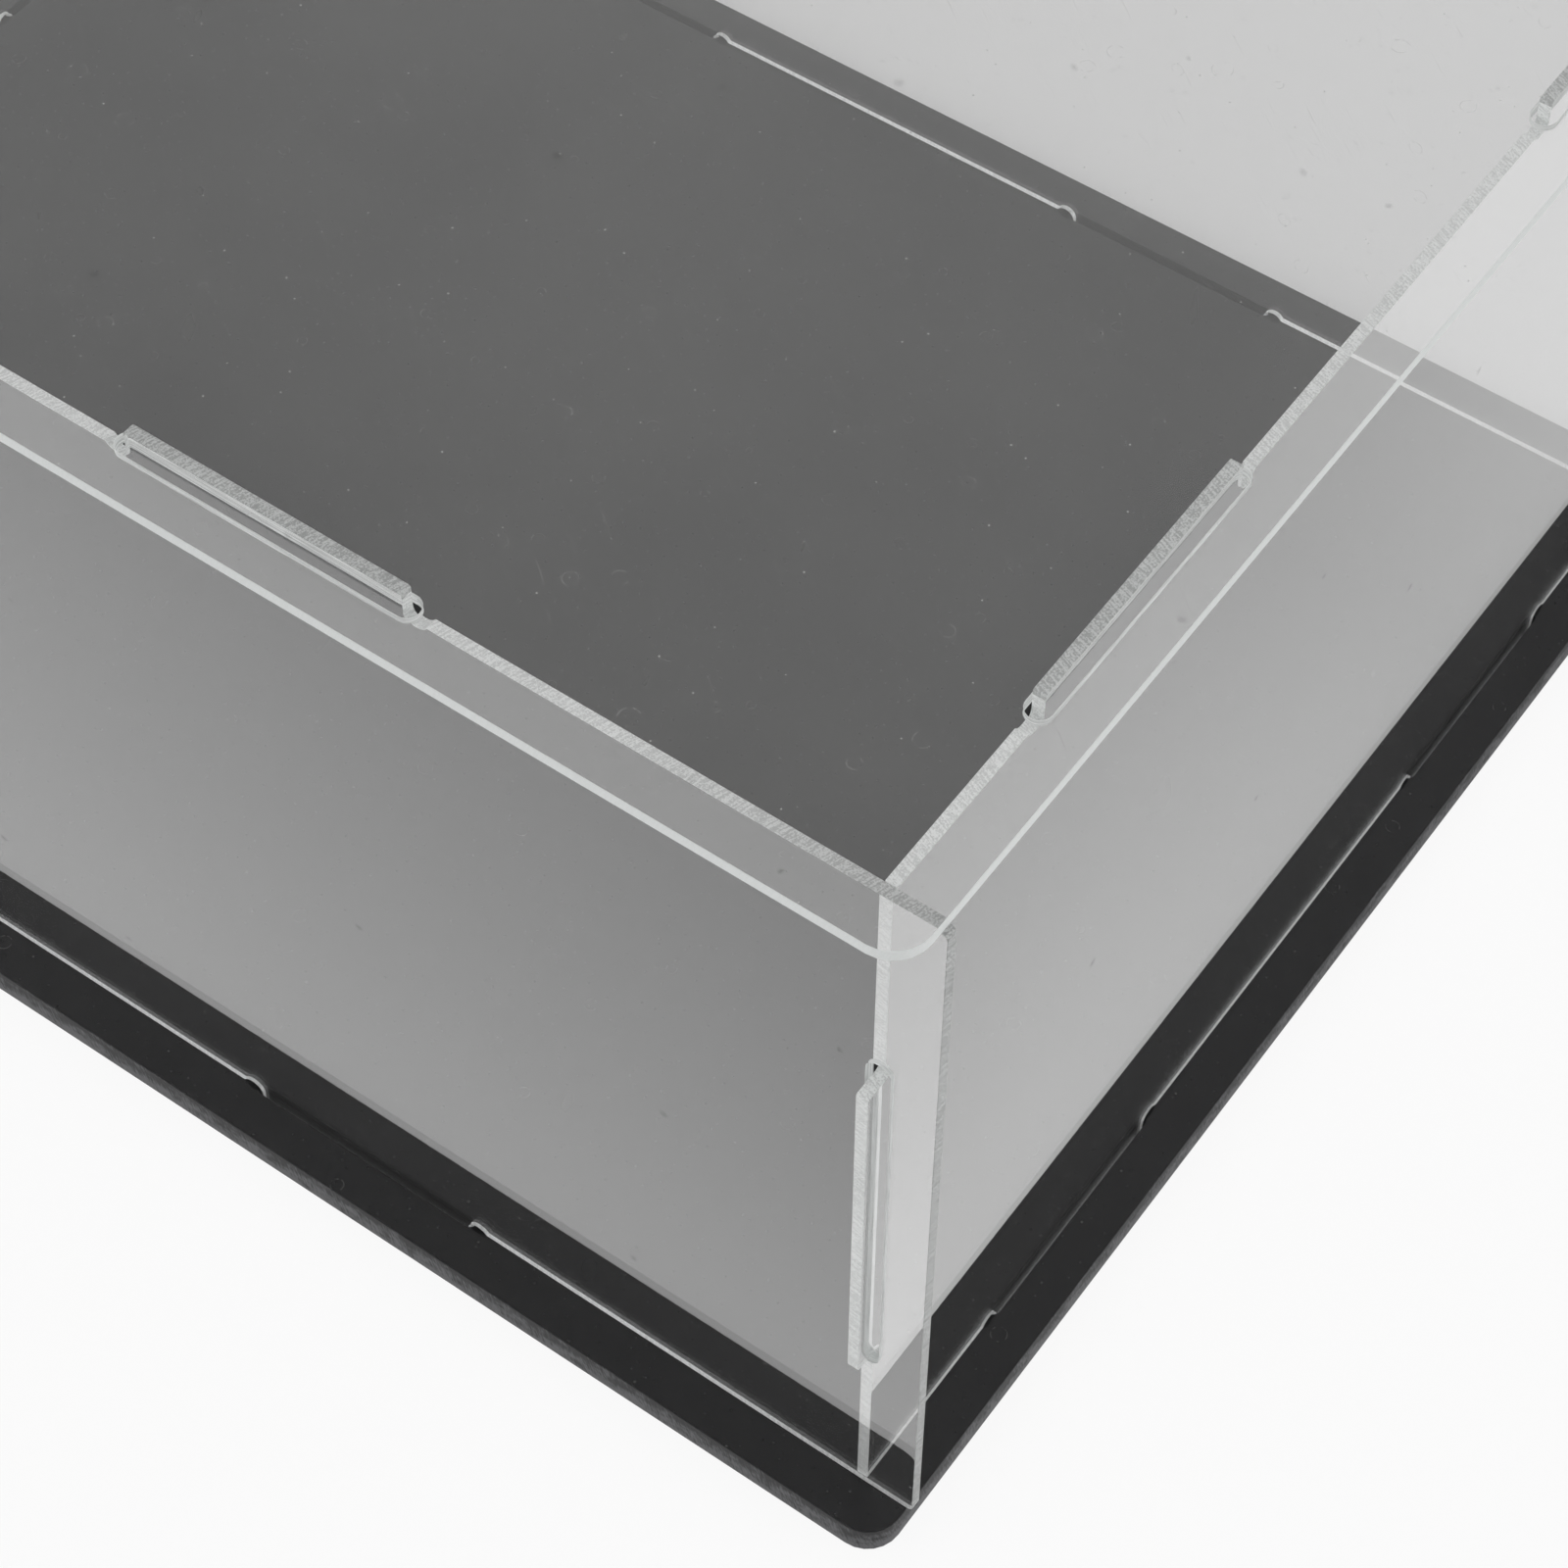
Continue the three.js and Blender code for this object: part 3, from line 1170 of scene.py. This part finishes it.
class CASE_OT_studio(bpy.types.Operator):
    """Set up the floor, the white room, the soft lights and the camera"""

    bl_idname = "display_case.studio"
    bl_label = "Studio"

    floor_gap = 0.1 * MM
    sensor_width = 36.0
    nearest = 10 * MM
    room_light = 0.6

    # How white the floor and the room are where they show: seen straight, and seen through sheet
    floor_glow_shares = (0.9, 0.18)
    room_glow_shares = (1.0, 0.4)

    # How bright the room is in a mirror: at its left and from there on, and where these are along X
    room_mirrored = (0.86, 1.06)
    room_mirrored_reach = (-0.65, -0.1)

    # How bright the floor is in a mirror: on a line along the case's front, and away from that line
    floor_mirrored_middle = -0.12
    floor_mirrored = (1.25, 0.84)
    floor_mirrored_reach = (0.0, 0.2)

    def execute(self, context):
        studio = context.scene.display_case.studio
        context.scene.view_settings.view_transform = "Standard"
        self.build_floor(studio)
        self.build_room(context.scene)
        self.hang_softbox("softbox_left", place=(-1.1, -1.5, 1.2), side=1.6, brightness=1.08)
        self.hang_softbox("softbox_right", place=(1.7, 0.3, 1.1), side=1.4, brightness=1.0)
        self.place_camera(context.scene, studio)
        return {"FINISHED"}

    def build_floor(self, studio):
        """A pale floor that keeps soft shadows, and looks white from the camera and in a mirror.

        In a mirror it is brightest along the front of the case.
        """
        mesh = bmesh.new()
        bmesh.ops.create_grid(mesh, x_segments=1, y_segments=1, size=studio.floor_size / 2)
        data = bpy.data.meshes.new("floor")
        mesh.to_mesh(data)
        mesh.free()
        floor = bpy.data.objects.new("floor", data)
        floor.location.z = -self.floor_gap
        bpy.context.scene.collection.objects.link(floor)
        material, tree, output = new_material("white_studio_board")
        board = add_node(tree, "ShaderNodeBsdfDiffuse", {"Color": studio.floor})
        ahead = add_node(
            tree,
            "ShaderNodeMath",
            {0: place_at_rest(tree)["Y"], 1: self.floor_mirrored_middle},
            operation="SUBTRACT",
        )
        away = add_node(tree, "ShaderNodeMath", {0: ahead.outputs["Value"]}, operation="ABSOLUTE")
        strength = mirrored_strength(
            tree, away.outputs["Value"], self.floor_mirrored_reach, self.floor_mirrored
        )
        glow = add_node(
            tree,
            "ShaderNodeEmission",
            {"Color": linear("#ffffff"), "Strength": strength},
        )
        share = shown_share(tree, *self.floor_glow_shares)
        mix = add_node(
            tree,
            "ShaderNodeMixShader",
            {0: share, 1: board.outputs["BSDF"], 2: glow.outputs["Emission"]},
        )
        tree.links.new(mix.outputs["Shader"], output.inputs["Surface"])
        data.materials.append(material)

    def build_room(self, scene):
        """The white room: it lights the case softly, and is plain white where it shows.

        In a mirror it is a little dimmer towards the left.
        """
        world = bpy.data.worlds.new("white_room")
        world.use_nodes = True
        scene.world = world
        tree = world.node_tree
        tree.nodes.clear()
        output = add_node(tree, "ShaderNodeOutputWorld")
        white = linear("#ffffff")
        light = add_node(tree, "ShaderNodeBackground", {"Color": white, "Strength": self.room_light})
        way = add_node(tree, "ShaderNodeTexCoord").outputs["Generated"]
        parts = add_node(tree, "ShaderNodeSeparateXYZ", {"Vector": way})
        strength = mirrored_strength(
            tree, parts.outputs["X"], self.room_mirrored_reach, self.room_mirrored
        )
        shown = add_node(tree, "ShaderNodeBackground", {"Color": white, "Strength": strength})
        share = shown_share(tree, *self.room_glow_shares)
        mix = add_node(
            tree,
            "ShaderNodeMixShader",
            {0: share, 1: light.outputs["Background"], 2: shown.outputs["Background"]},
        )
        tree.links.new(mix.outputs["Shader"], output.inputs["Surface"])

    def hang_softbox(self, name, place, side, brightness):
        """A square softbox that looks at the case. Its face has the brightness given."""
        lamp = bpy.data.lights.new(name, "AREA")
        lamp.shape = "SQUARE"
        lamp.size = side
        lamp.energy = brightness * math.pi * side * side
        box = bpy.data.objects.new(name, lamp)
        box.location = place
        box.rotation_euler = (-Vector(place)).to_track_quat("-Z", "Y").to_euler()
        bpy.context.scene.collection.objects.link(box)

    def place_camera(self, scene, studio):
        """The camera of the photograph's view, with no shift."""
        level = math.cos(studio.elevation)
        back = Vector(
            (
                math.sin(studio.azimuth) * level,
                -math.cos(studio.azimuth) * level,
                math.sin(studio.elevation),
            )
        )
        right = Vector((0, 0, 1)).cross(back).normalized()
        turn = Matrix.Rotation(studio.roll, 3, back)
        right = turn @ right
        up = back.cross(right)
        camera = bpy.data.cameras.new("camera")
        camera.lens = studio.lens
        camera.sensor_width = self.sensor_width
        camera.clip_start = self.nearest
        made = bpy.data.objects.new("camera", camera)
        axes = Matrix((right, up, back)).transposed().to_4x4()
        made.matrix_world = Matrix.Translation(Vector(studio.place)) @ axes
        scene.collection.objects.link(made)
        scene.camera = made


class CASE_PT_sidebar(bpy.types.Panel):
    """Lists the steps that finish the display case"""

    bl_label = "Display Case"
    bl_idname = "CASE_PT_sidebar"
    bl_space_type = "VIEW_3D"
    bl_region_type = "UI"
    bl_category = "Display Case"

    def draw(self, context):
        settings = context.scene.display_case
        for operator in (CASE_OT_base_plate, CASE_OT_walls, CASE_OT_top_plate, CASE_OT_studio):
            self.layout.operator(operator.bl_idname)
        for group in (settings.sheets, settings.finish, settings.studio):
            box = self.layout.box()
            for name in group.bl_rna.properties.keys():
                if name not in ("rna_type", "name"):
                    box.prop(group, name)


CLASSES = (
    CaseSheets,
    CaseFinish,
    CaseStudio,
    CaseSettings,
    CASE_OT_base_plate,
    CASE_OT_walls,
    CASE_OT_top_plate,
    CASE_OT_studio,
    CASE_PT_sidebar,
)


def register():
    for cls in CLASSES:
        bpy.utils.register_class(cls)
    bpy.types.Scene.display_case = PointerProperty(type=CaseSettings)


def unregister():
    del bpy.types.Scene.display_case
    for cls in reversed(CLASSES):
        bpy.utils.unregister_class(cls)


def main():
    register()
    bpy.ops.display_case.studio()
    bpy.ops.display_case.base_plate()
    bpy.ops.display_case.walls()
    bpy.ops.display_case.top_plate()


if __name__ == "__main__":
    main()
